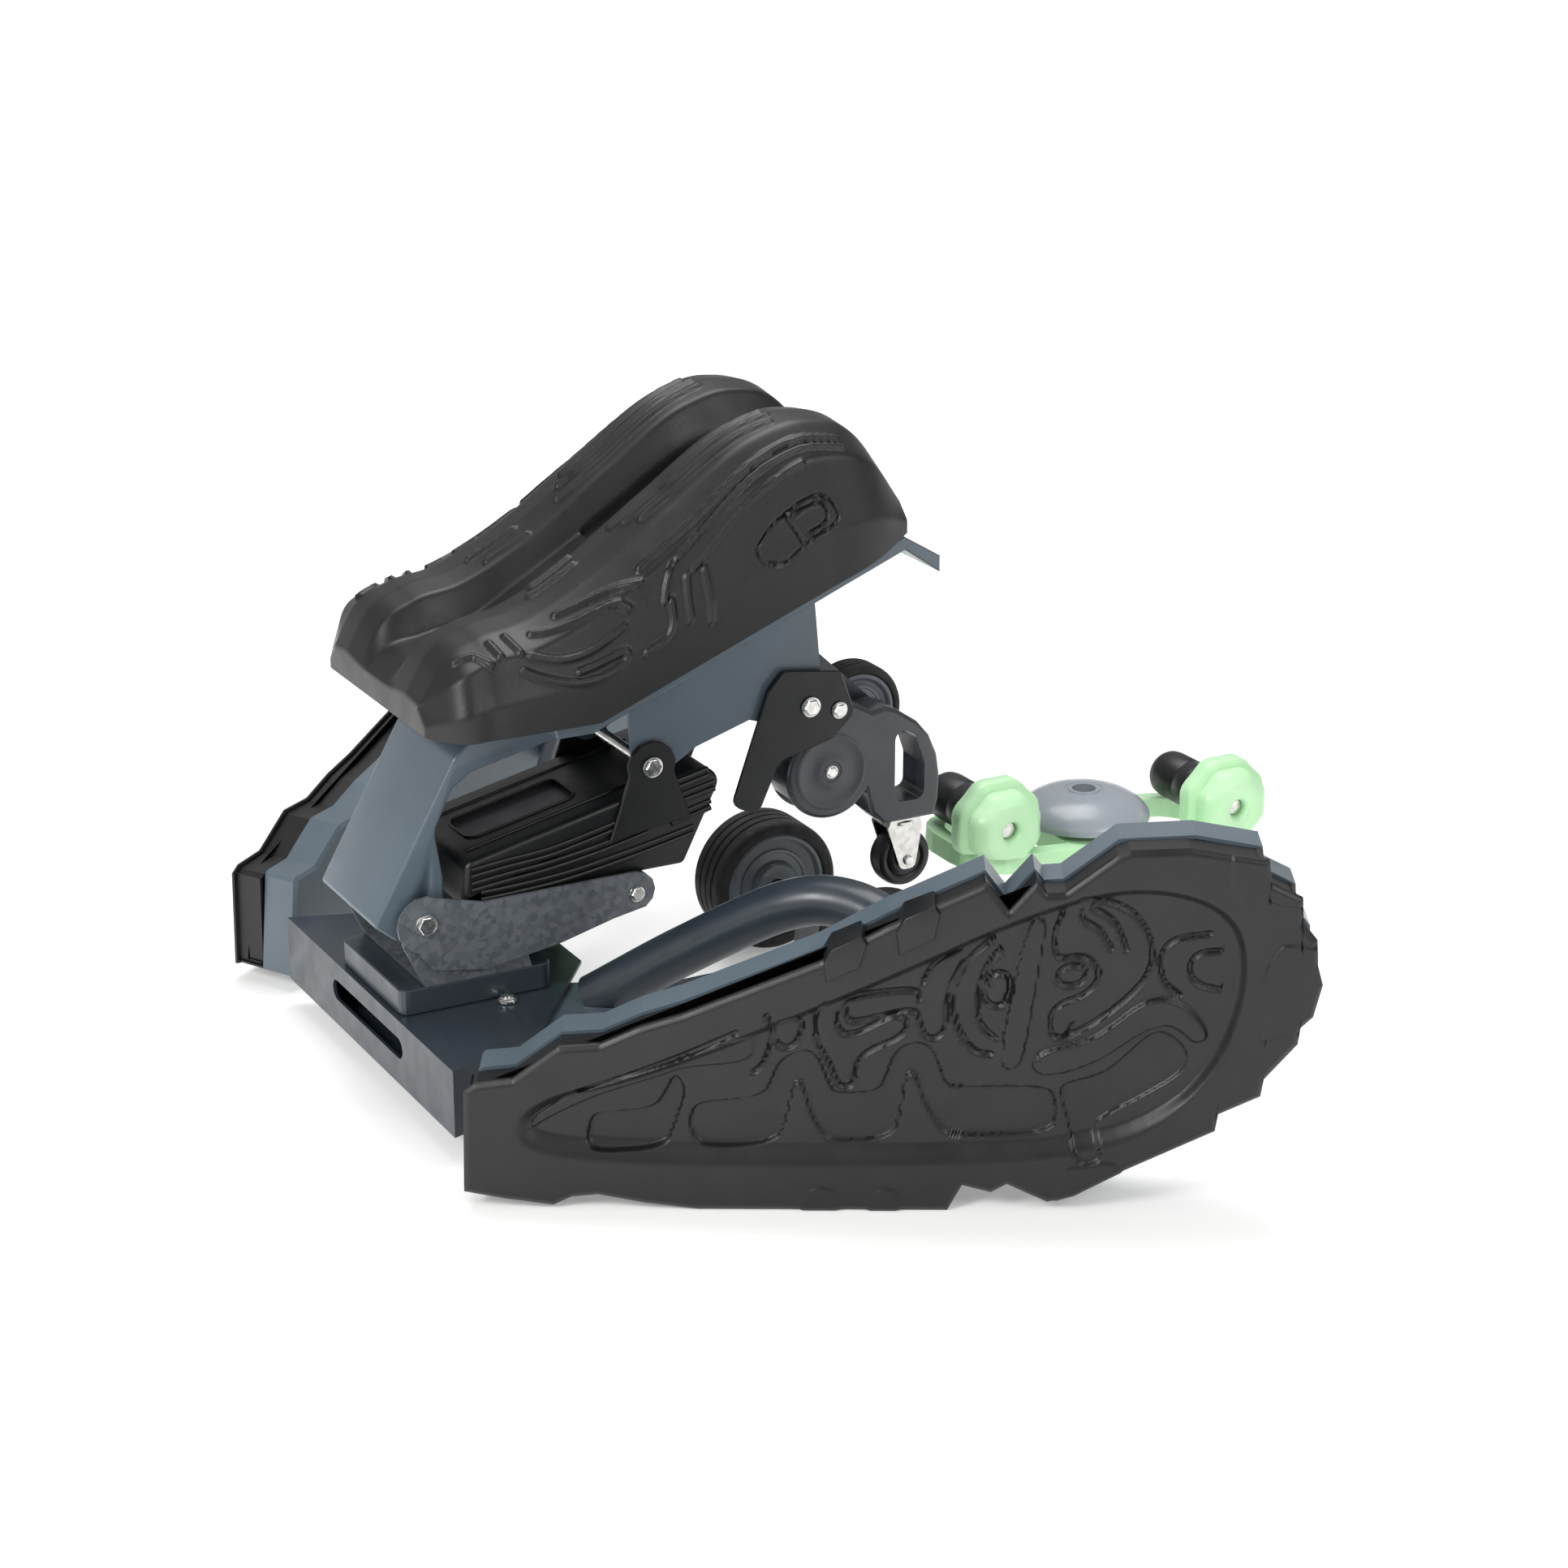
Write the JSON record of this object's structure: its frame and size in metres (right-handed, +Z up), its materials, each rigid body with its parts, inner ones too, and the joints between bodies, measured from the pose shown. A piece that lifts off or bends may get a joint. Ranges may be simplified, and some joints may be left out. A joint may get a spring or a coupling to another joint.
{
  "type": "folding rolling base with track-shaped legs",
  "caption": "Low rolling base with splayed track-shaped side legs, a front box, a lift arm carrying a tilting two-lobed hull, casters and a roller bogie.",
  "frame": {"origin": "centre of the bounding box on the floor plane, with both legs splayed and everything at rest", "axes": "+Z up, +X to the rear from the front box to the roller bogie, +Y to the right leg"},
  "size_m": [0.8871, 1.1312, 0.538],
  "materials": {
    "box_paint": "semi-gloss dark slate paint",
    "pale_paint": "semi-gloss blue-grey paint",
    "pale_moulding": "semi-gloss blue-grey moulding",
    "black_moulding": "fine-grained satin black moulding",
    "hull_moulding": "fine-grained satin black moulding",
    "galvanised": "mottled galvanised steel",
    "bright_fittings": "bright plated fasteners",
    "green_moulding": "satin pale green moulding",
    "tyre_rubber": "matt black rubber",
    "grey_hub": "satin grey hub plastic"
  },
  "bodies": {
    "base": {"front_box": "box_paint", "box_floor": "box_paint", "left_pivot_bolt": "bright_fittings", "right_pivot_bolt": "bright_fittings", "mast_riser": "box_paint", "mast_bracket": "galvanised", "spine_beam": "box_paint", "axle_block": "box_paint", "main_axle": "bright_fittings", "bogie_post": "bright_fittings", "arm_pivot_pin": "bright_fittings"},
    "left_leg": {"left_track_cover": "black_moulding", "left_inner_shell": "pale_moulding", "left_side_tube": "box_paint", "left_leg_socket": "pale_paint"},
    "right_leg": {"right_track_cover": "black_moulding", "right_inner_shell": "pale_moulding", "right_side_tube": "box_paint", "right_leg_socket": "pale_paint"},
    "left_wheel": {"left_main_hub": "grey_hub", "left_main_tyre": "tyre_rubber"},
    "right_wheel": {"right_main_hub": "grey_hub", "right_main_tyre": "tyre_rubber"},
    "arm": {"lift_arm": "galvanised", "arm_end_bolt": "bright_fittings", "arm_bumper": "green_moulding", "mast_cover": "pale_paint", "ribbed_shroud": "black_moulding", "slot_insert": "grey_hub", "left_pivot_cheek": "black_moulding", "right_pivot_cheek": "black_moulding", "deck_pivot_bolt": "bright_fittings"},
    "deck": {"deck_bracket": "pale_paint", "hull_pan": "pale_paint", "top_hull": "hull_moulding", "left_carrier_plate": "black_moulding", "right_carrier_plate": "black_moulding", "carrier_bolt": "bright_fittings", "idler_fork": "box_paint", "idler_axle": "bright_fittings", "swing_pin": "bright_fittings"},
    "idler": {"idler_hub": "grey_hub", "idler_tyre": "tyre_rubber"},
    "swing_arm": {"caster_hood": "box_paint", "hood_axle": "bright_fittings", "swivel_stem": "bright_fittings"},
    "caster_wheel": {"caster_hub": "grey_hub", "caster_tyre": "tyre_rubber"},
    "swivel": {"swivel_fork": "bright_fittings", "swivel_axle": "bright_fittings"},
    "swivel_wheel": {"swivel_wheel": "tyre_rubber"},
    "bogie": {"bogie_frame": "green_moulding", "bogie_dome": "pale_paint", "front_roller_cap": "green_moulding", "rear_roller_cap": "green_moulding", "front_roller_axle": "bright_fittings", "rear_roller_axle": "bright_fittings"},
    "front_roller": {"front_roller": "tyre_rubber"},
    "rear_roller": {"rear_roller": "tyre_rubber"}
  },
  "joints": [
    {"name": "left_leg_fold", "type": "hinge", "parent": "base", "child": "left_leg", "pos_m": [-0.3264, -0.075, 0.0505], "axis": [0, 0, 1], "range_deg": [0, 15]},
    {"name": "right_leg_fold", "type": "hinge", "parent": "base", "child": "right_leg", "pos_m": [-0.3264, 0.075, 0.0505], "axis": [0, 0, -1], "range_deg": [0, 15]},
    {"name": "left_wheel_roll", "type": "hinge", "parent": "base", "child": "left_wheel", "pos_m": [0.0086, -0.11, 0.06], "axis": [0, 1, 0], "continuous": true},
    {"name": "right_wheel_roll", "type": "hinge", "parent": "base", "child": "right_wheel", "pos_m": [0.0086, 0.11, 0.06], "axis": [0, 1, 0], "continuous": true},
    {"name": "arm_lift", "type": "hinge", "parent": "base", "child": "arm", "pos_m": [-0.3924, 0, 0.156], "axis": [0, -1, 0], "range_deg": [0, 25]},
    {"name": "deck_tilt", "type": "hinge", "parent": "arm", "child": "deck", "pos_m": [-0.1884, 0, 0.255], "axis": [0, 1, 0], "range_deg": [0, 8]},
    {"name": "idler_roll", "type": "hinge", "parent": "deck", "child": "idler", "pos_m": [0.0356, 0, 0.25], "axis": [0, 1, 0], "continuous": true},
    {"name": "caster_swing", "type": "hinge", "parent": "deck", "child": "swing_arm", "pos_m": [-0.0154, -0.0448, 0.277], "axis": [0, -1, 0], "range_deg": [0, 12]},
    {"name": "caster_roll", "type": "hinge", "parent": "swing_arm", "child": "caster_wheel", "pos_m": [-0.0194, -0.04475, 0.221], "axis": [0, 1, 0], "continuous": true},
    {"name": "small_caster_swivel", "type": "hinge", "parent": "swing_arm", "child": "swivel", "pos_m": [0.0566, -0.043, 0.164], "axis": [0, 0, 1], "continuous": true},
    {"name": "small_caster_roll", "type": "hinge", "parent": "swivel", "child": "swivel_wheel", "pos_m": [0.0596, -0.043, 0.125], "axis": [0, 1, 0], "continuous": true},
    {"name": "bogie_swivel", "type": "hinge", "parent": "base", "child": "bogie", "pos_m": [0.2766, 0, 0.092], "axis": [0, 0, 1], "range_deg": [-20, 20]},
    {"name": "front_roller_spin", "type": "hinge", "parent": "bogie", "child": "front_roller", "pos_m": [0.15886, 0, 0.13522], "axis": [0, 1, 0], "continuous": true},
    {"name": "rear_roller_spin", "type": "hinge", "parent": "bogie", "child": "rear_roller", "pos_m": [0.39998, 0, 0.11454], "axis": [0, 1, 0], "continuous": true}
  ]
}
